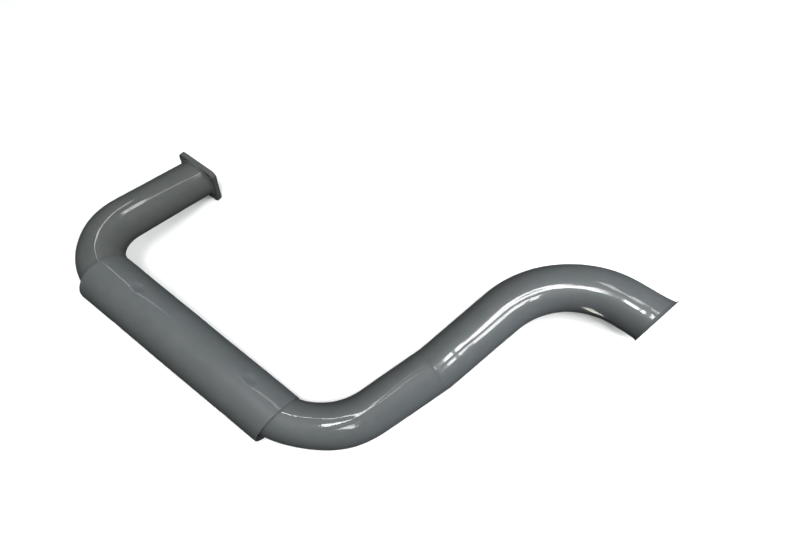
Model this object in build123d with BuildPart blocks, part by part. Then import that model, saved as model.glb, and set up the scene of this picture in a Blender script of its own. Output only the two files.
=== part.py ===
"""Engine exhaust pipe: a square inlet flange, a tight elbow, a middle pipe inside a
spaced heat sleeve on two spacer rings, a tail pipe with a turned lip, and the weld beads.
Millimetres, +Z up. The pipe lies on the floor as it comes to rest."""

import os
from math import acos, cos, radians, sin, tan

from build123d import *

# ---------------------------------------------------------------- dimensions
pipe_od = 60.3  # outside diameter of all three pipes
pipe_wall = 2.0
elbow_radius = 75.0  # centre-line radius of the tight elbow by the inlet
bend_radius = 122.0  # centre-line radius of the two wide bends

# centre-line lengths, each to the corner where two straight legs would cross
inlet_leg = 217.4  # flange face to elbow corner
sleeve_leg = 426.0  # elbow corner to first bend corner
rise_leg_low = 184.0  # first bend corner to the butt joint
rise_leg_high = 201.0  # butt joint to second bend corner
outlet_leg = 131.7  # second bend corner to the outlet plane

elbow_joint = 92.0  # elbow corner to the butt joint under the sleeve

elbow_angle = 95.0
first_bend_angle = 72.0
joint_angle = 6.0  # slight turn where the two pipes are butted
second_bend_angle = 75.0
elbow_twist = -35.0  # turn of each bend's plane about the leg it belongs to
joint_twist = -15.0
second_bend_twist = 168.4

flange_side = 68.5
flange_thickness = 8.0
flange_corner = 9.0
flange_edge_break = 0.8
flange_hole_spacing = 56.0
flange_hole_d = 7.0
flange_slip = 0.15  # radial gap of the pipe in the plate
pipe_recess = 1.0  # the pipe stops this far short of the flange face

sleeve_od = 74.0
sleeve_wall = 1.2
sleeve_start = 64.5  # along the sleeve leg, from the elbow corner
sleeve_end = 363.8
sleeve_skew = (0.2, -0.5)  # the sleeve's axis passes this far off the pipe's at its two ends
dimple_depth = 1.5  # shallow marks that press the sleeve onto its spacer rings
dimple_ball = 30.0  # radius of the ball that pressed each dimple
dimple_stations = (121.0, 309.0)
dimple_first = 45.0  # clock angle of the first dimple in each ring of three
spacer_width = 14.0
spacer_gap = 0.1  # radial gap of each spacer ring to the pipe and to the dimples

flare_length = 14.0  # gentle opening, then the short turned lip
flare_growth = 0.5
lip_length = 5.5
lip_flare = 2.2  # how far the lip's edge stands out beyond the pipe
ear_width = 5.0  # tiny ear on the lip's edge
ear_height = 3.0
ear_clock = 8.0  # clock angle of the ear about the outlet

weld_leg = 2.8  # radius of the fillet bead behind the flange
bead_width = 6.0  # low butt bead between the two pipes
bead_height = 0.8

# directions in the layout axes: X down the sleeve leg, first bend in plane XY
flange_normal = (-0.0231, 0.8963, -0.4428)  # the plate sits slightly askew
flange_edge = (0.9978, 0.0480, 0.0451)
sleeve_top_normal = (1.0, -0.010, 0.180)  # both sleeve ends are cut on a slant
sleeve_foot_normal = (1.0, -0.080, 0.085)
outlet_normal = (0.9552, -0.1764, 0.2375)  # normal of the slanted outlet

# the layout axes in the row frame: how the pipe lies on the floor
layout = Plane(
    origin=(-384.750, 40.550, 131.958),
    x_dir=(0.756782, -0.603098, -0.252097),
    z_dir=(0.089620, -0.286293, 0.953941),
)

ro = pipe_od / 2
ri = ro - pipe_wall


def along(v):
    """A direction given in the layout axes, as a unit vector of the row frame."""
    return (layout.x_dir * v[0] + layout.y_dir * v[1] + layout.z_dir * v[2]).normalized()


def turned(v, about, angle):
    """Vector v turned by angle degrees about the unit vector about."""
    c, s = cos(radians(angle)), sin(radians(angle))
    return v * c + about.cross(v) * s + about * (about.dot(v) * (1 - c))


# ---------------------------------------------------------------- centre line
elbow_corner = layout.origin
d_sleeve = along((1, 0, 0))
up_layout = along((0, 0, 1))

d_inlet = turned(d_sleeve, turned(up_layout, d_sleeve, elbow_twist), -elbow_angle)
inlet_point = elbow_corner - d_inlet * inlet_leg

first_corner = elbow_corner + d_sleeve * sleeve_leg
d_rise_low = turned(d_sleeve, up_layout, first_bend_angle)
joint_point = first_corner + d_rise_low * rise_leg_low
d_rise_high = turned(d_rise_low, turned(up_layout, d_rise_low, joint_twist), joint_angle)
second_corner = joint_point + d_rise_high * rise_leg_high
n_second = turned(up_layout, d_rise_high, second_bend_twist)
n_second = (n_second - d_rise_high * n_second.dot(d_rise_high)).normalized()
d_outlet = turned(d_rise_high, n_second, second_bend_angle)
outlet_point = second_corner + d_outlet * outlet_leg


def bend_points(corner, d_in, d_out, radius):
    """Start, middle and end of the bend of that radius at a corner."""
    back = radius * tan(acos(d_in.dot(d_out)) / 2)
    start = corner - d_in * back
    end = corner + d_out * back
    centre = start + (d_out - d_in * d_in.dot(d_out)).normalized() * radius
    middle = centre + (corner - centre).normalized() * radius
    return start, middle, end


elbow = bend_points(elbow_corner, d_inlet, d_sleeve, elbow_radius)
first_bend = bend_points(first_corner, d_sleeve, d_rise_low, bend_radius)
second_bend = bend_points(second_corner, d_rise_high, d_outlet, bend_radius)

# ---------------------------------------------------------------- end planes
n_flange = along(flange_normal)
edge_flange = along(flange_edge)
edge_flange = (edge_flange - n_flange * edge_flange.dot(n_flange)).normalized()
flange_face = Plane(origin=inlet_point, x_dir=edge_flange, z_dir=n_flange)
flange_back = flange_face.offset(-flange_thickness)
pipe_mouth = flange_face.offset(-pipe_recess)

elbow_plane = Plane(origin=elbow_corner + d_sleeve * elbow_joint, z_dir=d_sleeve)
joint_plane = Plane(origin=joint_point, z_dir=(d_rise_low + d_rise_high).normalized())

shell_top = elbow_corner + d_sleeve * sleeve_start + along((0, 1, 0)) * sleeve_skew[0]
shell_foot = elbow_corner + d_sleeve * sleeve_end + along((0, 1, 0)) * sleeve_skew[1]
d_shell = (shell_foot - shell_top).normalized()
shell_length = (shell_foot - shell_top).length
sleeve_top = Plane(origin=shell_top, z_dir=along(sleeve_top_normal))
sleeve_foot = Plane(origin=shell_foot, z_dir=along(sleeve_foot_normal))

n_outlet = along(outlet_normal)
# the outlet plane's x axis is the long axis of the slanted pipe section
lean = d_outlet.dot(n_outlet)
long_outlet = (d_outlet - n_outlet * lean).normalized()
outlet_face = Plane(origin=outlet_point, x_dir=long_outlet, z_dir=n_outlet)


def outlet_section(back, growth):
    """Plane and both radii of the slanted pipe section that far before the outlet."""
    plane = Plane(origin=outlet_point - d_outlet * back, x_dir=long_outlet, z_dir=n_outlet)
    return plane, (ro + growth, ri + growth)


flare_sections = [
    outlet_section(flare_length, 0.0),
    outlet_section(lip_length, flare_growth),
    outlet_section(0.0, lip_flare),
]

spare = 30.0  # extra length on every pipe end before it is cut

# ---------------------------------------------------------------- elbow pipe
with BuildPart() as elbow_pipe:
    with BuildLine() as elbow_route:
        Line(inlet_point - d_inlet * spare, elbow[0])
        ThreePointArc(*elbow)
        Line(elbow[2], elbow_corner + d_sleeve * elbow_joint)
    with BuildSketch(Plane(origin=inlet_point - d_inlet * spare, z_dir=d_inlet)):
        Circle(ro)
        Circle(ri, mode=Mode.SUBTRACT)
    sweep()
    split(bisect_by=pipe_mouth, keep=Keep.BOTTOM)

# ---------------------------------------------------------------- middle pipe
with BuildPart() as middle_pipe:
    with BuildLine() as middle_route:
        Line(elbow_corner + d_sleeve * elbow_joint, first_bend[0])
        ThreePointArc(*first_bend)
        Line(first_bend[2], joint_point + d_rise_low * spare)
    with BuildSketch(elbow_plane):
        Circle(ro)
        Circle(ri, mode=Mode.SUBTRACT)
    sweep()
    split(bisect_by=joint_plane, keep=Keep.BOTTOM)

# ---------------------------------------------------------------- tail pipe
with BuildPart() as tail_pipe:
    with BuildLine() as tail_route:
        Line(joint_point - d_rise_high * spare, second_bend[0])
        ThreePointArc(*second_bend)
        Line(second_bend[2], outlet_point + d_outlet * spare)
    with BuildSketch(Plane(joint_point - d_rise_high * spare, x_dir=n_second, z_dir=d_rise_high)):
        Circle(ro)
        Circle(ri, mode=Mode.SUBTRACT)
    sweep()
    split(bisect_by=joint_plane, keep=Keep.TOP)
    split(bisect_by=flare_sections[0][0], keep=Keep.BOTTOM)
    # the slanted pipe section opens gently, then turns out in a short lip
    for plane, radii in flare_sections:
        with BuildSketch(plane):
            Ellipse(radii[0] / lean, radii[0])
    loft(ruled=True)
    for plane, radii in flare_sections:
        with BuildSketch(plane):
            Ellipse(radii[1] / lean, radii[1])
    loft(ruled=True, mode=Mode.SUBTRACT)
    # a tiny ear stands up from the lip's edge
    with BuildSketch(outlet_face.offset(-pipe_wall)):
        with PolarLocations(0, 1, start_angle=ear_clock):
            with Locations((ro + lip_flare + ear_height / 2 - 1.2, 0)):
                RectangleRounded(ear_height, ear_width, 1.2)
    extrude(amount=pipe_wall)

# ---------------------------------------------------------------- inlet flange
with BuildPart() as inlet_flange:
    with BuildSketch(flange_face):
        RectangleRounded(flange_side, flange_side, flange_corner)
    extrude(amount=-flange_thickness)
    plate_faces = inlet_flange.faces().sort_by(SortBy.AREA)[-2:]
    fillet([edge for face in plate_faces for edge in face.edges()], radius=flange_edge_break)
    with BuildSketch(flange_face):
        with GridLocations(flange_hole_spacing, flange_hole_spacing, 2, 2):
            Circle(flange_hole_d / 2)
    extrude(amount=-flange_thickness, mode=Mode.SUBTRACT)
    with BuildSketch(Plane(origin=inlet_point - d_inlet * spare, z_dir=d_inlet)):
        Circle(ro + flange_slip)
    extrude(amount=2 * spare, mode=Mode.SUBTRACT)

# ---------------------------------------------------------------- heat sleeve
n_station = [elbow_corner + d_sleeve * s for s in dimple_stations]
n_shell = [shell_top + d_shell * (s - sleeve_start) for s in dimple_stations]
shell_side = along((0, 1, 0))
shell_side = (shell_side - d_shell * shell_side.dot(d_shell)).normalized()
ball_out = sleeve_od / 2 - dimple_depth + dimple_ball  # ball centre from the sleeve axis
ball_at = [
    station + turned(shell_side, d_shell, dimple_first + 120 * k) * ball_out
    for station in n_shell
    for k in range(3)
]
shell_blank = Plane(origin=shell_top - d_shell * spare, z_dir=d_shell)

with BuildPart() as heat_sleeve:
    with BuildSketch(shell_blank):
        Circle(sleeve_od / 2)
    extrude(amount=shell_length + 2 * spare)
    # hollow it, leaving the underside of each pressed dimple
    with BuildPart(mode=Mode.PRIVATE) as sleeve_core:
        with BuildSketch(shell_blank):
            Circle(sleeve_od / 2 - sleeve_wall)
        extrude(amount=shell_length + 2 * spare)
        with Locations(*ball_at):
            Sphere(dimple_ball + sleeve_wall, mode=Mode.SUBTRACT)
    add(sleeve_core.part, mode=Mode.SUBTRACT)
    with Locations(*ball_at):
        Sphere(dimple_ball, mode=Mode.SUBTRACT)
    split(bisect_by=sleeve_top, keep=Keep.TOP)
    split(bisect_by=sleeve_foot, keep=Keep.BOTTOM)

# ---------------------------------------------------------------- spacer rings
spacer_ri = ro + spacer_gap
spacer_ro = sleeve_od / 2 - sleeve_wall - dimple_depth - spacer_gap


def ring_plane(axis_point, direction):
    """Plane across an axis where the spacer ring round that point starts."""
    return Plane(origin=axis_point - direction * (spacer_width / 2), z_dir=direction)


# each ring fills the gap between the pipe and the sleeve, whose axes differ a little
with BuildPart() as upper_spacer:
    with BuildSketch(ring_plane(n_shell[0], d_shell)):
        Circle(spacer_ro)
    extrude(amount=spacer_width)
    with BuildSketch(ring_plane(n_station[0] - d_sleeve * spacer_width, d_sleeve)):
        Circle(spacer_ri)
    extrude(amount=3 * spacer_width, mode=Mode.SUBTRACT)

with BuildPart() as lower_spacer:
    with BuildSketch(ring_plane(n_shell[1], d_shell)):
        Circle(spacer_ro)
    extrude(amount=spacer_width)
    with BuildSketch(ring_plane(n_station[1] - d_sleeve * spacer_width, d_sleeve)):
        Circle(spacer_ri)
    extrude(amount=3 * spacer_width, mode=Mode.SUBTRACT)

# ---------------------------------------------------------------- weld beads
# fillet bead where the pipe leaves the back of the flange
lean_in = -d_inlet.dot(n_flange)
long_inlet = (d_inlet * -1 - n_flange * lean_in).normalized()
back_point = inlet_point + d_inlet * (flange_thickness / lean_in)
back_ring = Plane(origin=back_point, x_dir=long_inlet, z_dir=n_flange)

with BuildPart(back_ring) as flange_weld:
    Torus(ro * (1 + 1 / lean_in) / 2, weld_leg)
    with BuildSketch(Plane(origin=inlet_point - d_inlet * spare, z_dir=d_inlet)):
        Circle(ro)
    extrude(amount=3 * spare, mode=Mode.SUBTRACT)
    split(bisect_by=flange_back, keep=Keep.BOTTOM)

# low bead over the hidden butt joint of elbow and middle pipe
with BuildPart() as elbow_weld:
    with BuildSketch(elbow_plane.offset(-bead_width / 2)):
        Circle(ro + 0.02)
    with BuildSketch(elbow_plane):
        Circle(ro + bead_height)
    with BuildSketch(elbow_plane.offset(bead_width / 2)):
        Circle(ro + 0.02)
    loft()
    with BuildSketch(elbow_plane.offset(-bead_width)):
        Circle(ro)
    extrude(amount=2 * bead_width, mode=Mode.SUBTRACT)

# low bead over the butt joint of middle and tail pipe
with BuildPart() as joint_weld:
    with BuildSketch(joint_plane.offset(-bead_width / 2)):
        Circle(ro + 0.02)
    with BuildSketch(joint_plane):
        Circle(ro + bead_height)
    with BuildSketch(joint_plane.offset(bead_width / 2)):
        Circle(ro + 0.02)
    loft()
    with BuildSketch(Plane(origin=joint_point - d_rise_low * spare, z_dir=d_rise_low)):
        Circle(ro)
    extrude(amount=spare + 2, mode=Mode.SUBTRACT)
    with BuildSketch(Plane(origin=joint_point - d_rise_high * 2, z_dir=d_rise_high)):
        Circle(ro)
    extrude(amount=spare + 2, mode=Mode.SUBTRACT)

# ---------------------------------------------------------------- export
elbow_pipe.part.label = "elbow_pipe"
middle_pipe.part.label = "middle_pipe"
tail_pipe.part.label = "tail_pipe"
inlet_flange.part.label = "inlet_flange"
heat_sleeve.part.label = "heat_sleeve"
upper_spacer.part.label = "upper_spacer"
lower_spacer.part.label = "lower_spacer"
flange_weld.part.label = "flange_weld"
elbow_weld.part.label = "elbow_weld"
joint_weld.part.label = "joint_weld"

os.makedirs("parts", exist_ok=True)
export_step(elbow_pipe.part, "parts/elbow_pipe.step")
export_step(middle_pipe.part, "parts/middle_pipe.step")
export_step(tail_pipe.part, "parts/tail_pipe.step")
export_step(inlet_flange.part, "parts/inlet_flange.step")
export_step(heat_sleeve.part, "parts/heat_sleeve.step")
export_step(upper_spacer.part, "parts/upper_spacer.step")
export_step(lower_spacer.part, "parts/lower_spacer.step")
export_step(flange_weld.part, "parts/flange_weld.step")
export_step(elbow_weld.part, "parts/elbow_weld.step")
export_step(joint_weld.part, "parts/joint_weld.step")
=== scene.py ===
"""Looks, light and camera for the exhaust pipe. Metres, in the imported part's frame;
lengths named in the shape section are millimetres and are scaled when a mesh is made."""

import bpy
import numpy as np
from mathutils import Matrix, Vector


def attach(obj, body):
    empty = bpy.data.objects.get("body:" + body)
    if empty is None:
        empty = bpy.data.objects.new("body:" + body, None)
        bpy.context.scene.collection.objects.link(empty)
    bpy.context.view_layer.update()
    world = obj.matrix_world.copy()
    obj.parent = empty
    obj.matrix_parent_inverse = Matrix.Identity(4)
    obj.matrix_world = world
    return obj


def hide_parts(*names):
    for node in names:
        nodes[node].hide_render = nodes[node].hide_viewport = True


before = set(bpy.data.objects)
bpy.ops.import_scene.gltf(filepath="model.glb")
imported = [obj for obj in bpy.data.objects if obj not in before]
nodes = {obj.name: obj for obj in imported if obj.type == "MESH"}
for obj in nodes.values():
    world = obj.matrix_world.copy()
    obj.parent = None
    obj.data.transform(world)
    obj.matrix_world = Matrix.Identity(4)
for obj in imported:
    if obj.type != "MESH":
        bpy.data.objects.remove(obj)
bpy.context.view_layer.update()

MM = 0.001

# ---------------------------------------------------------------- dimensions, as in the CAD
PIPE_OD, PIPE_WALL = 60.3, 2.0
RO, RI = PIPE_OD / 2, PIPE_OD / 2 - PIPE_WALL
ELBOW_RADIUS, BEND_RADIUS = 75.0, 122.0
INLET_LEG, SLEEVE_LEG, RISE_LOW, RISE_HIGH, OUTLET_LEG = 217.4, 426.0, 184.0, 201.0, 131.7
ELBOW_JOINT = 92.0
PIPE_RECESS, PLATE = 1.0, 8.0
SLEEVE_R, SLEEVE_WALL = 37.0, 1.2
SLEEVE_START, SLEEVE_END = 64.5, 363.8
SLEEVE_SKEW = (0.2, -0.5)
DIMPLE_BALL, DIMPLE_DEPTH = 30.0, 1.5
DIMPLE_STATIONS, DIMPLE_CLOCKS = (121.0, 309.0), (45.0, 165.0, 285.0)
FLARE, LIP, LIP_FLARE = 14.0, 5.5, 2.2
EAR_HEIGHT, EAR_CLOCK = 2.4, 8.0


def unit(v):
    v = np.asarray(v, float)
    return v / np.linalg.norm(v)


def turned(v, about, degrees):
    a = np.radians(degrees)
    return v * np.cos(a) + np.cross(about, v) * np.sin(a) + about * (about @ v) * (1 - np.cos(a))


ORIGIN = np.array([-384.750, 40.550, 131.958])
LX = unit([0.756782, -0.603098, -0.252097])
LZ = unit([0.089620, -0.286293, 0.953941])
LY = np.cross(LZ, LX)


def along(v):
    return unit(LX * v[0] + LY * v[1] + LZ * v[2])


# ---------------------------------------------------------------- centre line
D_SLEEVE = LX
D_INLET = turned(D_SLEEVE, turned(LZ, D_SLEEVE, -35.0), -95.0)
INLET = ORIGIN - D_INLET * INLET_LEG
FIRST_CORNER = ORIGIN + D_SLEEVE * SLEEVE_LEG
D_LOW = turned(D_SLEEVE, LZ, 72.0)
JOINT = FIRST_CORNER + D_LOW * RISE_LOW
D_HIGH = turned(D_LOW, turned(LZ, D_LOW, -15.0), 6.0)
SECOND_CORNER = JOINT + D_HIGH * RISE_HIGH
N_SECOND = turned(LZ, D_HIGH, 168.4)
N_SECOND = unit(N_SECOND - D_HIGH * (N_SECOND @ D_HIGH))
D_OUTLET = turned(D_HIGH, N_SECOND, 75.0)
OUTLET = SECOND_CORNER + D_OUTLET * OUTLET_LEG

N_FLANGE = along((-0.0231, 0.8963, -0.4428))
N_JOINT = unit(D_LOW + D_HIGH)
N_TOP = along((1.0, -0.010, 0.180))
N_FOOT = along((1.0, -0.080, 0.085))
N_OUTLET = along((0.9552, -0.1764, 0.2375))
ELBOW_POINT = ORIGIN + D_SLEEVE * ELBOW_JOINT


def meet(point, direction, plane_point, plane_normal):
    """Where a line meets a plane."""
    return point + direction * (((plane_point - point) @ plane_normal) / (direction @ plane_normal))


MOUTH = meet(INLET, D_INLET, INLET - N_FLANGE * PIPE_RECESS, N_FLANGE)


class Route:
    """A centre line of straight runs and bends, sampled by its length."""

    def __init__(self, start, first_side):
        self.parts, self.at, self.length = [], np.asarray(start, float), 0.0
        self.side = first_side

    def line(self, end):
        d = end - self.at
        size = np.linalg.norm(d)
        d = d / size
        side = unit(self.side - d * (self.side @ d))
        self.parts.append(("line", self.length, size, self.at, d, side))
        self.at, self.length, self.side = end, self.length + size, side
        return self

    def bend(self, d_in, d_out, radius):
        angle = np.arccos(np.clip(d_in @ d_out, -1, 1))
        inward = unit(d_out - d_in * (d_in @ d_out))
        centre = self.at + inward * radius
        axis = np.cross(d_in, inward)
        self.parts.append(("bend", self.length, radius * angle, self.at, d_in, self.side, centre, axis, radius, inward))
        self.side = turned(self.side, axis, np.degrees(angle))
        self.at = centre + turned(-inward * radius, axis, np.degrees(angle))
        self.length += radius * angle
        return self

    def frames(self, s):
        """Points, tangents and two sides at the lengths s, with the bend's inward side and how far through the bend each is."""
        n = len(s)
        c, t, e1, inward, share = np.zeros((n, 3)), np.zeros((n, 3)), np.zeros((n, 3)), np.zeros((n, 3)), np.zeros(n)
        for i, x in enumerate(s):
            part = next((p for p in self.parts if x <= p[1] + p[2] + 1e-9), self.parts[-1])
            u = x - part[1]
            if part[0] == "line":
                c[i], t[i], e1[i] = part[3] + part[4] * u, part[4], part[5]
                inward[i] = part[5]
            else:
                _, _, size, start, d_in, side, centre, axis, radius, inner = part
                a = np.degrees(u / radius)
                c[i] = centre + turned(-inner * radius, axis, a)
                t[i], e1[i], inward[i] = turned(d_in, axis, a), turned(side, axis, a), turned(inner, axis, a)
                share[i] = u / size
        return c, t, e1, np.cross(t, e1), inward, share


def tangent_length(d_in, d_out, radius):
    return radius * np.tan(np.arccos(d_in @ d_out) / 2)


back_elbow = tangent_length(D_INLET, D_SLEEVE, ELBOW_RADIUS)
back_first = tangent_length(D_SLEEVE, D_LOW, BEND_RADIUS)
back_second = tangent_length(D_HIGH, D_OUTLET, BEND_RADIUS)

elbow_route = Route(MOUTH, LY).line(ORIGIN - D_INLET * back_elbow).bend(D_INLET, D_SLEEVE, ELBOW_RADIUS).line(ELBOW_POINT)
middle_route = Route(ELBOW_POINT, elbow_route.side).line(FIRST_CORNER - D_SLEEVE * back_first).bend(D_SLEEVE, D_LOW, BEND_RADIUS).line(JOINT)
tail_route = Route(JOINT, middle_route.side).line(SECOND_CORNER - D_HIGH * back_second).bend(D_HIGH, D_OUTLET, BEND_RADIUS).line(OUTLET)
SHELL_TOP = ORIGIN + D_SLEEVE * SLEEVE_START + LY * SLEEVE_SKEW[0]
SHELL_FOOT = ORIGIN + D_SLEEVE * SLEEVE_END + LY * SLEEVE_SKEW[1]
sleeve_route = Route(SHELL_TOP, LY).line(SHELL_FOOT)

# ---------------------------------------------------------------- surface helpers
AROUND = 144
TURN = np.linspace(0, 2 * np.pi, AROUND, endpoint=False)


def waves(seed, count, size, low, high):
    """A few long, shallow waves in a tube's wall, as handling and bending leave them."""
    r = np.random.default_rng(seed)
    rows = [(r.integers(1, 6), r.uniform(low, high), r.uniform(0, 6.28), size * r.uniform(0.4, 1.0)) for _ in range(count)]

    def height(s, turn):
        return sum(a * np.cos(m * turn + p) * np.cos(2 * np.pi * s / w + 2 * p) for m, w, p, a in rows)

    return height


def smooth(x):
    x = np.clip(x, 0, 1)
    return x * x * (3 - 2 * x)


def loops(route, s_values, radius, ends):
    """Rings of points at radius(s, turn) round a route; the end rings lean onto the end planes."""
    s = np.asarray(s_values, float)
    c, t, e1, e2, inward, share = route.frames(s)
    out = []
    for i in range(len(s)):
        r = radius(s[i], TURN, inward[i] @ e1[i], inward[i] @ e2[i], share[i])
        p = c[i] + r[:, None] * (np.cos(TURN)[:, None] * e1[i] + np.sin(TURN)[:, None] * e2[i])
        for (normal, zone, hold), d in zip(ends, (s[i], route.length - s[i])):
            if normal is None or d > zone:
                continue
            lean = -((p - c[i]) @ normal) / (t[i] @ normal)
            weight = 1.0 if d <= hold else (zone - d) / (zone - hold)
            p = p + t[i] * (lean * weight)[:, None]
        out.append(p)
    return out


def spaced(length, step, fine, fine_step, starts=()):
    """Lengths from 0 to length, closer near the ends and near each of starts."""
    marks = [0.0]
    while marks[-1] < length - 1e-6:
        x = marks[-1]
        near = x < fine or length - x < fine or any(abs(x - m) < w for m, w in starts)
        marks.append(min(length, x + (fine_step if near else step)))
    if marks[-1] - marks[-2] < 0.3 * fine_step:
        marks.pop(-2)
    return np.array(marks)


def ring_mesh(name, rings, inner_from, depths, dulls):
    """A closed mesh from rings that run along the outside and back along the inside."""
    n = len(rings)
    verts = np.concatenate(rings) * MM
    verts[:, 2] = np.maximum(verts[:, 2], 0.0)
    i = np.arange(n)[:, None] * AROUND
    j = np.arange(AROUND)[None, :]
    i2 = ((np.arange(n) + 1) % n)[:, None] * AROUND
    j2 = (j + 1) % AROUND
    faces = np.stack([i + j, i + j2, i2 + j2, i2 + j], axis=-1).reshape(-1, 4)
    mesh = bpy.data.meshes.new(name)
    mesh.from_pydata(verts.tolist(), [], faces.tolist())
    mesh.update()
    inside = mesh.attributes.new("depth_inside", "FLOAT", "POINT")
    inside.data.foreach_set("value", np.repeat(depths, AROUND).astype(np.float32))
    haze = mesh.attributes.new("haze", "FLOAT", "POINT")
    haze.data.foreach_set("value", np.concatenate(dulls).astype(np.float32))
    index = np.repeat((np.arange(n) >= inner_from).astype(np.int32), AROUND)
    mesh.polygons.foreach_set("material_index", index)
    finish_mesh(mesh)
    return mesh


def finish_mesh(mesh, sharp=35.0):
    """Normals outwards, smooth shading with sharp edges where the faces really turn."""
    import bmesh

    bm = bmesh.new()
    bm.from_mesh(mesh)
    bmesh.ops.recalc_face_normals(bm, faces=bm.faces)
    bm.to_mesh(mesh)
    bm.free()
    mesh.polygons.foreach_set("use_smooth", np.ones(len(mesh.polygons), bool))
    mesh.set_sharp_from_angle(angle=np.radians(sharp))
    mesh.update()


def piece(name, mesh, materials, *replaced):
    obj = bpy.data.objects.new(name, mesh)
    bpy.context.scene.collection.objects.link(obj)
    for m in materials:
        mesh.materials.append(m)
    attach(obj, "root")
    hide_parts(*replaced)
    return obj


def tube(name, route, outer_s, inner_s, outer, inner, ends, rim, mouth_start, mouth_end, dull=None):
    """Outer skin, rim, inner skin and rim of a tube, as rings; dull(s, turn) is where the gloss is hazed."""
    total = route.length
    skin = loops(route, np.clip(outer_s, rim, total - rim), outer, ends)
    face_out_b = loops(route, [total], lambda s, a, *k: outer(s, a, *k) - rim, ends)
    face_in_b = loops(route, [total], lambda s, a, *k: inner(s, a, *k) + rim, ends)
    core = loops(route, np.clip(inner_s, rim, total - rim)[::-1], inner, ends)
    face_in_a = loops(route, [0.0], lambda s, a, *k: inner(s, a, *k) + rim, ends)
    face_out_a = loops(route, [0.0], lambda s, a, *k: outer(s, a, *k) - rim, ends)
    rings = skin + face_out_b + face_in_b + core + face_in_a + face_out_a
    s_inner = np.clip(inner_s, rim, total - rim)[::-1]
    from_start = s_inner if mouth_start else np.full(len(s_inner), 1e3)
    from_end = total - s_inner if mouth_end else np.full(len(s_inner), 1e3)
    deep = np.minimum(from_start, from_end)
    depths = np.concatenate([np.zeros(len(skin) + 2), deep, np.zeros(2)])
    clear = np.zeros_like(TURN)
    dulls = [dull(x, TURN) if dull else clear for x in np.clip(outer_s, rim, total - rim)]
    dulls += [clear] * (len(rings) - len(skin))
    return ring_mesh(name, rings, len(skin) + 2, depths, dulls)


# ---------------------------------------------------------------- materials
def new_material(name):
    m = bpy.data.materials.new(name)
    m.use_nodes = True
    m.node_tree.nodes.clear()
    return m, m.node_tree


def add(tree, kind, inputs=None, **settings):
    n = tree.nodes.new(kind)
    for k, v in settings.items():
        setattr(n, k, v)
    for k, v in (inputs or {}).items():
        if isinstance(v, bpy.types.NodeSocket):
            tree.links.new(v, n.inputs[k])
        else:
            n.inputs[k].default_value = v
    return n


def ramp(tree, value, stops, interpolation="LINEAR"):
    n = add(tree, "ShaderNodeValToRGB", {"Fac": value})
    n.color_ramp.interpolation = interpolation
    e = n.color_ramp.elements
    while len(e) < len(stops):
        e.new(0.5)
    for item, (at, shade) in zip(e, stops):
        item.position = at
        item.color = (shade, shade, shade, 1) if isinstance(shade, (int, float)) else (*shade, 1)
    return n.outputs["Color"]


def mix(tree, factor, a, b, blend="MIX"):
    n = tree.nodes.new("ShaderNodeMix")
    n.data_type, n.blend_type = "RGBA", blend
    for name, v in (("Factor", factor), ("A", a), ("B", b)):
        sockets = [x for x in n.inputs if x.name == name and x.enabled]
        s = sockets[0]
        if isinstance(v, bpy.types.NodeSocket):
            tree.links.new(v, s)
        elif name == "Factor":
            s.default_value = v
        else:
            s.default_value = (*v, 1)
    return [x for x in n.outputs if x.enabled][0]


def math(tree, operation, a, b=0.0, clamp=False):
    return add(tree, "ShaderNodeMath", {0: a, 1: b}, operation=operation, use_clamp=clamp).outputs[0]


def noise(tree, vector, scale, detail=2.0, rough=0.5, distort=0.0):
    return add(
        tree,
        "ShaderNodeTexNoise",
        {"Vector": vector, "Scale": scale, "Detail": detail, "Roughness": rough, "Distortion": distort},
    ).outputs["Fac"]


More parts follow.
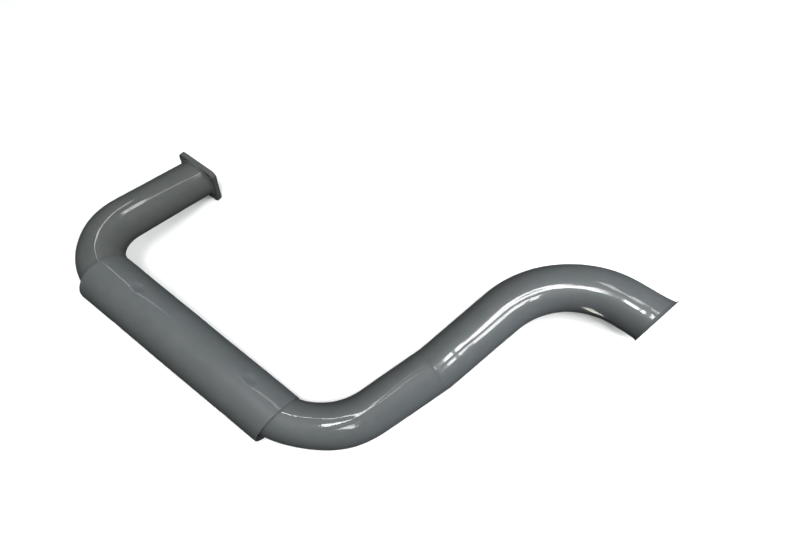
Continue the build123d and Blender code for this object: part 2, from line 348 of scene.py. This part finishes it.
def grey_paint(name, inside):
    """Glossy grey enamel over steel. The inside version fades to sooty bare steel away from a mouth."""
    m, t = new_material(name)
    coords = add(t, "ShaderNodeTexCoord").outputs["Object"]
    geometry = add(t, "ShaderNodeNewGeometry")

    # colour: slow drift in film thickness, fine mottle, a few nibs of dust under the gloss
    drift = noise(t, coords, 7.0, 2.0, 0.45)
    mottle = noise(t, coords, 85.0, 5.0, 0.6)
    colour = mix(t, ramp(t, drift, [(0.32, 0.0), (0.68, 1.0)]), (0.072, 0.079, 0.080), (0.083, 0.090, 0.095))
    colour = mix(t, ramp(t, mottle, [(0.35, 0.0), (0.7, 0.5)]), colour, (0.090, 0.096, 0.098))
    cells = add(t, "ShaderNodeTexVoronoi", {"Vector": coords, "Scale": 210.0, "Randomness": 1.0}, feature="F1")
    chance = add(t, "ShaderNodeSeparateColor", {"Color": cells.outputs["Color"]}).outputs["Red"]
    near = ramp(t, cells.outputs["Distance"], [(0.0, 1.0), (0.11, 0.0)])
    nib = math(t, "MULTIPLY", near, math(t, "GREATER_THAN", chance, 0.955))
    colour = mix(t, math(t, "MULTIPLY", nib, 0.35), colour, (0.14, 0.143, 0.14))

    # a film of dust where the surface looks up
    up = add(t, "ShaderNodeSeparateXYZ", {"Vector": geometry.outputs["Normal"]}).outputs["Z"]
    dust = math(t, "MULTIPLY", ramp(t, up, [(0.35, 0.0), (1.0, 1.0)]), ramp(t, noise(t, coords, 38.0, 6.0, 0.62), [(0.42, 0.0), (0.72, 1.0)]))
    colour = mix(t, math(t, "MULTIPLY", dust, 0.06), colour, (0.22, 0.216, 0.205))

    # light rub marks, long and thin, in two directions
    stretched = add(t, "ShaderNodeMapping", {"Vector": coords, "Rotation": (0.3, 0.2, 0.55), "Scale": (9.0, 420.0, 300.0)}).outputs[0]
    crossed = add(t, "ShaderNodeMapping", {"Vector": coords, "Rotation": (0.1, -0.4, -0.9), "Scale": (14.0, 520.0, 420.0)}).outputs[0]
    rub_a = ramp(t, noise(t, stretched, 1.0, 2.0, 0.5), [(0.70, 0.0), (0.76, 1.0)])
    rub_b = ramp(t, noise(t, crossed, 1.0, 2.0, 0.5), [(0.73, 0.0), (0.78, 1.0)])
    patch = ramp(t, noise(t, coords, 14.0, 3.0, 0.5), [(0.52, 0.0), (0.66, 1.0)])
    rub = math(t, "MULTIPLY", math(t, "MAXIMUM", rub_a, rub_b), patch)
    colour = mix(t, math(t, "MULTIPLY", rub, 0.12), colour, (0.15, 0.153, 0.15))

    # thin film and small chips on sharp edges
    rounded = add(t, "ShaderNodeBevel", {"Radius": 0.0011}, samples=6)
    flat = add(t, "ShaderNodeVectorMath", {0: rounded.outputs[0], 1: geometry.outputs["Normal"]}, operation="DOT_PRODUCT").outputs["Value"]
    edge = ramp(t, flat, [(0.90, 1.0), (0.995, 0.0)])
    chips = ramp(t, noise(t, coords, 260.0, 3.0, 0.6), [(0.60, 0.0), (0.66, 1.0)])
    chip = math(t, "MULTIPLY", edge, chips)
    colour = mix(t, math(t, "MULTIPLY", edge, 0.25), colour, (0.045, 0.048, 0.048))
    colour = mix(t, math(t, "MULTIPLY", chip, 0.55), colour, (0.16, 0.15, 0.14))

    rough = math(t, "ADD", 0.34, math(t, "MULTIPLY", mottle, 0.12))
    rough = math(t, "ADD", rough, math(t, "MULTIPLY", dust, 0.16))
    rough = math(t, "ADD", rough, math(t, "MULTIPLY", rub, 0.2), clamp=True)

    # orange peel, slow flow of the wet film, nibs, and shallow rub marks
    peel = noise(t, coords, 420.0, 1.5, 0.4)
    flow = noise(t, coords, 58.0, 2.0, 0.4)
    bump = add(t, "ShaderNodeBump", {"Height": peel, "Strength": 1.0, "Distance": 0.0000085}).outputs[0]
    bump = add(t, "ShaderNodeBump", {"Height": flow, "Strength": 1.0, "Distance": 0.00006, "Normal": bump}).outputs[0]
    bump = add(t, "ShaderNodeBump", {"Height": math(t, "SUBTRACT", nib, math(t, "MULTIPLY", rub, 0.3)), "Strength": 1.0, "Distance": 0.00003, "Normal": bump}).outputs[0]

    metal = 0.0
    if inside:
        depth = add(t, "ShaderNodeAttribute", attribute_name="depth_inside").outputs["Fac"]
        ragged = math(t, "ADD", depth, math(t, "MULTIPLY", noise(t, coords, 75.0, 4.0, 0.6), 40.0))
        bare = ramp(t, math(t, "DIVIDE", ragged, 120.0), [(0.28, 0.0), (0.62, 1.0)])
        soot = ramp(t, noise(t, coords, 30.0, 6.0, 0.65), [(0.3, (0.035, 0.032, 0.03)), (0.75, (0.11, 0.095, 0.082))])
        colour = mix(t, bare, colour, soot)
        rough = math(t, "ADD", rough, math(t, "MULTIPLY", bare, 0.3), clamp=True)

    shader = add(
        t,
        "ShaderNodeBsdfPrincipled",
        {
            "Base Color": colour,
            "Roughness": rough,
            "Metallic": metal,
            "Normal": bump,
            "IOR": 1.42,
            "Specular IOR Level": 0.22,
            "Coat Weight": 0.0,
            "Coat Roughness": 0.05,
            "Coat IOR": 1.38,
        },
    )
    if not inside:
        # the gloss coat dulls towards grazing angles, as a hazed enamel does
        grazing = add(t, "ShaderNodeLayerWeight", {"Blend": 0.5}).outputs["Facing"]
        gloss = math(t, "MULTIPLY", ramp(t, grazing, [(0.45, 1.0), (0.92, 0.18)]), 0.66)
        haze = add(t, "ShaderNodeAttribute", attribute_name="haze").outputs["Fac"]
        gloss = math(t, "MULTIPLY", gloss, math(t, "SUBTRACT", 1.0, haze, True))
        t.links.new(gloss, shader.inputs["Coat Weight"])
        t.links.new(bump, shader.inputs["Coat Normal"])
    out = add(t, "ShaderNodeOutputMaterial")
    t.links.new(shader.outputs[0], out.inputs["Surface"])
    return m


paint = grey_paint("grey_paint_outside", False)
lining = grey_paint("grey_paint_inside", True)

# ---------------------------------------------------------------- the three pipes
pipe_waves = {name: waves(seed, 7, 0.045, 38.0, 120.0) for name, seed in (("elbow", 3), ("middle", 8), ("tail", 12))}


def bump(x):
    return np.cos(np.clip(x, -1, 1) * np.pi / 2) ** 2


def pipe_radius(base, height, inner=(0.2, 0.5, 0.5), outer=(-0.3, 0.5, 0.5)):
    """Pipe wall: near round, with faint waves. Bending moves its inner and outer sides: (height, where, reach)."""

    def radius(s, turn, in1, in2, share):
        facing = np.cos(turn - np.arctan2(in2, in1))
        shift = inner[0] * bump((share - inner[1]) / inner[2]) * np.maximum(facing, 0) ** 2
        shift = shift + outer[0] * bump((share - outer[1]) / outer[2]) * np.maximum(-facing, 0) ** 2
        return base + height(s, turn) + shift * (share > 0)

    return radius


ELBOW_SHAPE = ((2.3, 0.75, 0.25), (0.9, 0.7, 0.3))
MIDDLE_SHAPE = ((0.3, 0.5, 0.5), (-3.2, 0.42, 0.40))
TAIL_SHAPE = ((-0.4, 0.5, 0.5), (-0.9, 0.5, 0.5))


def elbow_haze(s, turn):
    """A small dull patch where the elbow begins, below its upper side."""
    off = np.degrees((turn + np.radians(45.0) + np.pi) % (2 * np.pi) - np.pi)
    return 0.9 * (1 - smooth((abs(s - 153.0) - 8.0) / 4.0)) * (1 - smooth((np.abs(off) - 14.0) / 5.0))


elbow_ends = ((N_FLANGE, 26.0, 0.3), (None, 0, 0))
mesh = tube(
    "elbow_tube",
    elbow_route,
    spaced(elbow_route.length, 1.9, 6.0, 1.0),
    spaced(elbow_route.length, 5.0, 8.0, 2.0),
    pipe_radius(RO, pipe_waves["elbow"], *ELBOW_SHAPE),
    pipe_radius(RI, pipe_waves["elbow"], *ELBOW_SHAPE),
    elbow_ends,
    0.25,
    True,
    False,
    elbow_haze,
)
piece("elbow_tube", mesh, [paint, lining], "elbow_pipe")

def middle_haze(s, turn):
    """The film dries duller from the end of the bend to the joint."""
    return np.full_like(turn, np.interp(s, (385.0, 405.0, 430.0, 494.0), (0.0, 0.45, 0.75, 0.9)))


def tail_haze(s, turn):
    """Dull bands in the film by the joint and before the outlet, along the pipe's upper side."""
    by_length = np.interp(
        s,
        (0.0, 13.0, 17.0, 27.5, 29.0, 32.5, 34.0, 222.0, 238.0, 247.0, 259.5, 261.5, 280.5, 281.8, 283.2, 284.4, 289.0, 290.4, 295.0, 296.5),
        (0.9, 0.9, 0.0, 0.0, 0.95, 0.95, 0.0, 0.0, 0.6, 0.95, 0.95, 0.0, 0.0, 0.95, 0.95, 0.0, 0.0, 0.95, 0.95, 0.0),
    )
    off = np.degrees((turn - np.radians(34.0) + np.pi) % (2 * np.pi) - np.pi)
    return by_length * (1 - smooth((np.abs(off) - 14.5) / 3.0))


middle_ends = ((None, 0, 0), (N_JOINT, 12.0, 0.3))
mesh = tube(
    "middle_tube",
    middle_route,
    spaced(middle_route.length, 2.2, 6.0, 1.0),
    spaced(middle_route.length, 6.0, 8.0, 2.0),
    pipe_radius(RO, pipe_waves["middle"], *MIDDLE_SHAPE),
    pipe_radius(RI, pipe_waves["middle"], *MIDDLE_SHAPE),
    middle_ends,
    0.25,
    False,
    False,
    middle_haze,
)
piece("middle_tube", mesh, [paint, lining], "middle_pipe")

# the tail's last stretch opens gently and turns out in a lip, with one tiny ear
LEAN = D_OUTLET @ N_OUTLET
LONG = unit(D_OUTLET - N_OUTLET * LEAN)
EAR = turned(LONG, N_OUTLET, EAR_CLOCK)
_, _, tail_e1, tail_e2, _, _ = tail_route.frames(np.array([tail_route.length]))
EAR_TURN = np.arctan2(EAR @ tail_e2[0], EAR @ tail_e1[0])
tail_length = tail_route.length


def lip_growth(back):
    """How far the wall stands out that far before the outlet."""
    gentle = 0.5 * smooth((FLARE - back) / (FLARE - LIP))
    turn_out = (LIP_FLARE - 0.5) * np.clip((LIP - back) / LIP, 0, 1) ** 1.6
    return gentle + turn_out


def tail_radius(base, ear):
    wall = pipe_radius(base, pipe_waves["tail"], *TAIL_SHAPE)

    def radius(s, turn, *k):
        back = tail_length - s
        r = wall(s, turn, *k) + lip_growth(back)
        if ear:
            off = (turn - EAR_TURN + np.pi) % (2 * np.pi) - np.pi
            width = 1 - smooth((np.abs(off) * (RO + 2) - 1.5) / 1.6)
            r = r + EAR_HEIGHT * width * (1 - smooth((back - 1.5) / 0.9))
        return r

    return radius


tail_ends = ((N_JOINT, 12.0, 0.3), (N_OUTLET, 46.0, 15.0))
end_steps = tail_length - np.array([24, 22, 20, 18, 16.5, 15, 14, 13, 12, 11, 10, 9, 8, 7, 6.2, 5.6, 5.0, 4.4, 3.8, 3.2, 2.8, 2.5, 2.2, 1.9, 1.6, 1.3, 1.0, 0.6, 0.0])
outer_s = np.concatenate([spaced(tail_length, 1.9, 6.0, 1.0, [(30.0, 6.0)])[:-1], end_steps])
outer_s = np.array(sorted(x for x in outer_s if x < tail_length - 25.5 or x in end_steps))
inner_s = np.concatenate([spaced(tail_length, 5.0, 8.0, 2.0)[:-1], end_steps[::2]])
inner_s = np.array(sorted(x for x in inner_s if x < tail_length - 27 or x in end_steps))
mesh = tube("tail_tube", tail_route, outer_s, inner_s, tail_radius(RO, True), tail_radius(RI, False), tail_ends, 0.35, False, True, tail_haze)
piece("tail_tube", mesh, [paint, lining], "tail_pipe")

# ---------------------------------------------------------------- heat sleeve
sleeve_waves = waves(21, 8, 0.10, 60.0, 190.0)


def mark_depth(s, turn, ball):
    """Depth of the shallow pressed marks, with softened brims."""
    deep = np.zeros_like(turn)
    centre = SLEEVE_R - DIMPLE_DEPTH + DIMPLE_BALL
    for station in DIMPLE_STATIONS:
        ds = s + SLEEVE_START - station
        if abs(ds) > 16:
            continue
        for clock in DIMPLE_CLOCKS:
            off = (turn - np.radians(clock) + np.pi) % (2 * np.pi) - np.pi
            cu = centre * np.cos(off)
            inside = cu * cu - centre * centre - ds * ds + ball * ball
            depth = np.where((inside > 0) & (np.abs(off) < 0.5), SLEEVE_R - (cu - np.sqrt(np.maximum(inside, 0))), -2.0)
            k = 0.45
            deep = deep + 0.5 * (depth + np.sqrt(depth * depth + k * k)) * (1 - smooth((np.hypot(ds, off * SLEEVE_R) - 12.5) / 3.5))
    return deep


def sleeve_radius(base, ball):
    def radius(s, turn, *k):
        fade = smooth(min(s, sleeve_route.length - s) / 10.0)
        return base + sleeve_waves(s, turn) * (0.3 + 0.7 * fade) - mark_depth(s, turn, ball)

    return radius


AROUND = 192
TURN = np.linspace(0, 2 * np.pi, AROUND, endpoint=False)
sleeve_ends = ((N_TOP, 40.0, 0.4), (N_FOOT, 40.0, 0.4))
marks = [(x - SLEEVE_START, 15.0) for x in DIMPLE_STATIONS]
mesh = tube(
    "sleeve_shell",
    sleeve_route,
    spaced(sleeve_route.length, 2.2, 5.0, 1.2, marks),
    spaced(sleeve_route.length, 6.0, 6.0, 2.5, [(m, 14.0) for m, _ in marks]),
    sleeve_radius(SLEEVE_R, DIMPLE_BALL),
    sleeve_radius(SLEEVE_R - SLEEVE_WALL, DIMPLE_BALL),
    sleeve_ends,
    0.22,
    True,
    True,
)
piece("sleeve_shell", mesh, [paint, lining], "heat_sleeve")
AROUND = 144
TURN = np.linspace(0, 2 * np.pi, AROUND, endpoint=False)


# ---------------------------------------------------------------- weld beads
def bead(name, centre, axis, side, root, ripples, seed, node, along_segments, dull):
    """A weld bead: root(angle, share, ripple, lift) gives each point round its section."""
    r = np.random.default_rng(seed)
    n = along_segments
    across = 11
    other = np.cross(axis, side)
    phase = np.cumsum(1.0 + 0.25 * r.standard_normal(n))
    phase = phase / phase[-1] * ripples * 2 * np.pi
    lift = 1 + 0.09 * np.interp(np.arange(n) / n, np.linspace(0, 1, 24), np.r_[r.standard_normal(23), 0])
    points = []
    for i in range(n):
        a = 2 * np.pi * i / n
        ripple = 0.5 + 0.5 * np.cos(phase[i])
        points.append([root(a, x, ripple, lift[i]) for x in np.linspace(0, 1, across)])
    points = np.array(points)
    verts = (centre + points[:, :, 0:1] * side + points[:, :, 1:2] * other + points[:, :, 2:3] * axis).reshape(-1, 3) * MM
    faces = []
    for i in range(n):
        k = (i + 1) % n
        for j in range(across):
            l = (j + 1) % across
            faces.append((i * across + j, k * across + j, k * across + l, i * across + l))
    mesh = bpy.data.meshes.new(name)
    mesh.from_pydata(verts.tolist(), [], faces)
    mesh.update()
    haze = mesh.attributes.new("haze", "FLOAT", "POINT")
    haze.data.foreach_set("value", np.full(len(mesh.vertices), dull, np.float32))
    finish_mesh(mesh, 60.0)
    return piece(name, mesh, [paint], node)


# fillet bead behind the plate, round the slanted section of the pipe
lean_in = -D_INLET @ N_FLANGE
back_point = INLET + D_INLET * (PLATE / lean_in)
long_inlet = unit(-D_INLET - N_FLANGE * lean_in)
cross_inlet = np.cross(N_FLANGE, long_inlet)


def fillet_root(a, share, ripple, lift):
    """Plate-side toe at share 0, over the crown, pipe-side toe near share 0.85, then back along the root."""
    base = np.array([np.cos(a) * RO / lean_in, np.sin(a) * RO])
    out = np.array([np.cos(a), np.sin(a)])
    leg = 2.45 * lift * (0.93 + 0.07 * ripple)
    if share < 0.85:
        q = share / 0.85 * np.pi / 2
        swell = 1 + 0.06 * ripple * np.sin(2 * q)
        radial, height = leg * np.cos(q) * swell, leg * np.sin(q) * swell
    else:
        radial, height = -0.25, leg * (1 - share) / 0.15 * 0.6
    # the pipe leaves the plate on a slant, so points off the plate slide along it
    slide = -height * np.array([D_INLET @ long_inlet, D_INLET @ cross_inlet]) / (D_INLET @ N_FLANGE)
    flat = base + out * radial + slide
    return np.array([flat[0], flat[1], -height])


bead("plate_bead", back_point, N_FLANGE, long_inlet, fillet_root, 84, 5, "flange_weld", 840, 0.5)


def butt_root(width, height, rough):
    def root(a, share, ripple, lift):
        if share < 0.82:
            x = share / 0.82 * 2 - 1
            r = RO - 0.10 + height * lift * (1 - rough * (1 - ripple)) * (1 - x * x) ** 1.4
            z = x * width / 2 * (0.94 + 0.06 * lift)
            z = z + 1.6 * rough * (ripple - 0.5) * (1 - x * x)
        else:
            x = (share - 0.82) / 0.18
            r = RO - 0.35
            z = (1 - 2 * x) * width / 2 * 0.6
        return np.array([r * np.cos(a), r * np.sin(a), z])

    return root


joint_side = unit(LZ - N_JOINT * (LZ @ N_JOINT))
bead("joint_bead", JOINT, N_JOINT, joint_side, butt_root(7.0, 0.30, 0.05), 92, 9, "joint_weld", 920, 0.75)
elbow_side = unit(LZ - D_SLEEVE * (LZ @ D_SLEEVE))
bead("elbow_bead", ELBOW_POINT, D_SLEEVE, elbow_side, butt_root(5.8, 0.85, 0.28), 90, 11, "elbow_weld", 720, 0.4)

# ---------------------------------------------------------------- carried-over CAD nodes
for name in ("inlet_flange", "upper_spacer", "lower_spacer"):
    data = nodes[name].data
    data.materials.clear()
    data.materials.append(paint)

# ---------------------------------------------------------------- floor
floor_mesh = bpy.data.meshes.new("floor")
floor_mesh.from_pydata([(-15, -15, 0), (15, -15, 0), (15, 15, 0), (-15, 15, 0)], [], [(0, 1, 2, 3)])
floor = bpy.data.objects.new("floor", floor_mesh)
bpy.context.scene.collection.objects.link(floor)
white, t = new_material("pale_floor")
coords = add(t, "ShaderNodeTexCoord").outputs["Object"]
tone = ramp(t, noise(t, coords, 3.0, 3.0, 0.5), [(0.3, (0.90, 0.90, 0.90)), (0.7, (0.93, 0.93, 0.925))])
shader = add(t, "ShaderNodeBsdfPrincipled", {"Base Color": tone, "Roughness": 0.85, "Specular IOR Level": 0.1})
t.links.new(shader.outputs[0], add(t, "ShaderNodeOutputMaterial").inputs["Surface"])
floor_mesh.materials.append(white)
floor.visible_glossy = floor.visible_diffuse = False

# ---------------------------------------------------------------- light
world = bpy.data.worlds.new("studio")
bpy.context.scene.world = world
world.use_nodes = True
t = world.node_tree
t.nodes.clear()
direction = add(t, "ShaderNodeTexCoord").outputs["Generated"]
height = add(t, "ShaderNodeSeparateXYZ", {"Vector": direction}).outputs["Z"]
shade = ramp(t, height, [(0.0, (0.035, 0.036, 0.033)), (0.14, (0.10, 0.105, 0.097)), (0.4, (0.22, 0.232, 0.212)), (0.9, (0.44, 0.46, 0.43))])
background = add(t, "ShaderNodeBackground", {"Color": shade, "Strength": 1.0})
t.links.new(background.outputs[0], add(t, "ShaderNodeOutputWorld").inputs["Surface"])

RIG_HEIGHT = 1.5


def soft_light(name, centre, size, radiance, colour, x_axis, target=(0.0, 0.0, 0.05)):
    """A flat rectangular light that faces the pipe."""
    data = bpy.data.lights.new(name, "AREA")
    data.shape = "RECTANGLE"
    data.size, data.size_y = size
    data.energy = radiance * np.pi * size[0] * size[1]
    data.color = colour
    obj = bpy.data.objects.new(name, data)
    bpy.context.scene.collection.objects.link(obj)
    z = (Vector(centre) - Vector(target)).normalized()
    x = Vector(x_axis)
    x = (x - z * x.dot(z)).normalized()
    y = z.cross(x)
    obj.matrix_world = Matrix(((x[0], y[0], z[0], centre[0]), (x[1], y[1], z[1], centre[1]), (x[2], y[2], z[2], centre[2]), (0, 0, 0, 1)))
    return obj


def light_only(light, objects):
    """Keep a light to these objects."""
    lit = bpy.data.collections.new("lit_by_" + light.name)
    for obj in objects:
        lit.objects.link(obj)
    light.light_linking.receiver_collection = lit


def tube_light(name, a, b, width, radiance, colour=(1.0, 1.0, 1.0), only=None):
    """A thin light between two points of the rig over the table; with only, just a gloss on that piece."""
    a, b = Vector((*a, RIG_HEIGHT)), Vector((*b, RIG_HEIGHT))
    light = soft_light(name, tuple((a + b) / 2), ((b - a).length, width), radiance, colour, b - a)
    if only:
        light_only(light, [bpy.data.objects[only]])
        light.visible_diffuse = False
    return light


# key and fill: cool on the near pieces and the floor, dimmer and warmer on the far end
far_end = [bpy.data.objects[name] for name in ("elbow_tube", "plate_bead")] + [nodes["inlet_flange"]]
near_end = [bpy.data.objects[name] for name in ("middle_tube", "tail_tube", "sleeve_shell", "joint_bead", "elbow_bead")]
near_end += [nodes["upper_spacer"], nodes["lower_spacer"], floor]
for name, objects, key_radiance, fill_radiance, colour in (
    ("near", near_end, 2.6, 8.0, (0.925, 0.955, 1.0)),
    ("far", far_end, 2.0, 5.0, (1.0, 0.985, 0.90)),
):
    key = soft_light("key_" + name, (0.95, -0.35, 1.45), (1.3, 1.0), key_radiance, colour, (1.0, 0.0, 0.0))
    fill = soft_light("fill_" + name, (1.60, -0.30, 0.75), (1.2, 1.0), fill_radiance, colour, (0.0, 1.0, 0.0))
    for light in (key, fill):
        light.visible_glossy = False
        light_only(light, objects)

# an even wash over the floor alone
wash = soft_light("floor_wash", (0.0, 0.0, 4.0), (14.0, 14.0), 0.42, (1.0, 1.0, 1.0), (1.0, 0.0, 0.0), (0.0, 0.0, 0.0))
wash.visible_camera = wash.visible_glossy = False
light_only(wash, [floor])
wash.light_linking.blocker_collection = bpy.data.collections.new("shade_for_floor_wash")

# two bright panels near the viewer, then the dimmer lights round the rest of the rig
WHITE = (1.0, 1.0, 1.0)
ELBOW, MIDDLE, TAIL, SLEEVE = "elbow_tube", "middle_tube", "tail_tube", "sleeve_shell"
tube_light("near_panel", (0.27, -0.06), (0.30, -0.56), 0.17, 46.0)
tube_light("near_panel_side", (0.38, -0.34), (0.47, -0.56), 0.12, 46.0)
tube_light("near_panel_left", (0.06, -0.29), (0.30, -0.62), 0.12, 46.0, WHITE, TAIL)
tube_light("low_panel", (0.70, -0.85), (0.98, -1.18), 0.19, 40.0, WHITE, TAIL)
tube_light("low_panel_left", (0.61, -0.97), (0.83, -1.36), 0.12, 40.0, WHITE, TAIL)
tube_light("left_bar", (-0.33, -0.03), (-0.33, -0.34), 0.050, 52.0, WHITE, MIDDLE)
tube_light("left_low_bar", (-0.20, -0.88), (-0.06, -1.42), 0.040, 34.0, WHITE, MIDDLE)
for i, (a, b, radiance) in enumerate(
    (
        ((0.20, 0.50), (-0.06, 0.80), 60.0),
        ((-0.06, 0.80), (-0.21, 0.91), 38.0),
        ((-0.21, 0.91), (-0.44, 0.78), 24.0),
        ((-0.44, 0.78), (-0.53, 0.50), 34.0),
        ((-0.53, 0.50), (-0.58, 0.30), 36.0),
        ((-0.58, 0.30), (-0.55, 0.02), 32.0),
        ((-0.55, 0.02), (-0.46, -0.27), 44.0),
        ((-0.46, -0.27), (-0.40, -0.33), 56.0),
    )
):
    tube_light("left_tube_%d" % i, a, b, 0.045, radiance, WHITE, MIDDLE)
for i, (a, b, radiance) in enumerate(
    (
        ((-0.35, 0.93), (-0.44, 1.10), 17.0),
        ((-0.44, 1.10), (-0.33, 1.27), 20.0),
        ((-0.33, 1.27), (-0.03, 1.45), 21.0),
        ((-0.03, 1.45), (-0.12, 1.62), 16.0),
    )
):
    tube_light("far_tube_%d" % i, a, b, 0.055, radiance, WHITE, ELBOW)
tube_light("far_short_tube", (-0.01, 1.34), (0.06, 1.06), 0.060, 10.0, WHITE, SLEEVE)
tube_light("far_short_tube_end", (0.10, 1.12), (0.34, 1.40), 0.090, 4.0, WHITE, SLEEVE)
tube_light("side_panel", (0.64, 1.02), (1.08, 0.74), 0.120, 21.0, (1.0, 1.0, 0.97), ELBOW)
tube_light("side_panel_far", (1.08, 0.90), (1.90, 1.00), 0.100, 9.0, (1.0, 1.0, 0.97), ELBOW)
tube_light("side_panel_end", (1.90, 1.00), (2.90, 0.68), 0.150, 3.5, (1.0, 1.0, 0.97), ELBOW)
tube_light("side_panel_low", (0.58, 0.72), (0.97, 1.00), 0.120, 6.0, (1.0, 1.0, 0.97), SLEEVE)
tube_light("right_panel", (0.60, 0.14), (0.70, 0.56), 0.110, 17.0, WHITE, TAIL)
tube_light("right_panel_side", (0.62, 0.07), (0.86, 0.30), 0.070, 20.0, WHITE, TAIL)

# a warm gloss low on the last bend, from under the floor, which does not shade it
glint = soft_light("low_glint", (0.02, -1.0, -0.643), (0.52, 0.15), 17.0, (1.0, 0.97, 0.88), (-0.167, 0.622, -0.765), (0.285, -0.064, 0.060))
light_only(glint, [bpy.data.objects[TAIL]])
glint.visible_camera = glint.visible_diffuse = False
glint.light_linking.blocker_collection = bpy.data.collections.new("shade_for_low_glint")

# ---------------------------------------------------------------- camera
camera_data = bpy.data.cameras.new("camera")
camera = bpy.data.objects.new("camera", camera_data)
bpy.context.scene.collection.objects.link(camera)
place = Vector((0.184575, -0.254938, 0.726372))
forward = Vector((-0.1816875, 0.35032225, -0.91883838)).normalized()
right = Vector((0.98100545, 0.0, -0.19398017)).normalized()
up = right.cross(forward)
camera.matrix_world = Matrix(
    (
        (right[0], up[0], -forward[0], place[0]),
        (right[1], up[1], -forward[1], place[1]),
        (right[2], up[2], -forward[2], place[2]),
        (0, 0, 0, 1),
    )
)
camera_data.sensor_fit = "HORIZONTAL"
camera_data.sensor_width = 36.0
camera_data.lens = 36.0 * 557.456 / 800.0
camera_data.clip_start, camera_data.clip_end = 0.05, 50.0
bpy.context.scene.camera = camera
bpy.context.scene.view_settings.view_transform = "Standard"
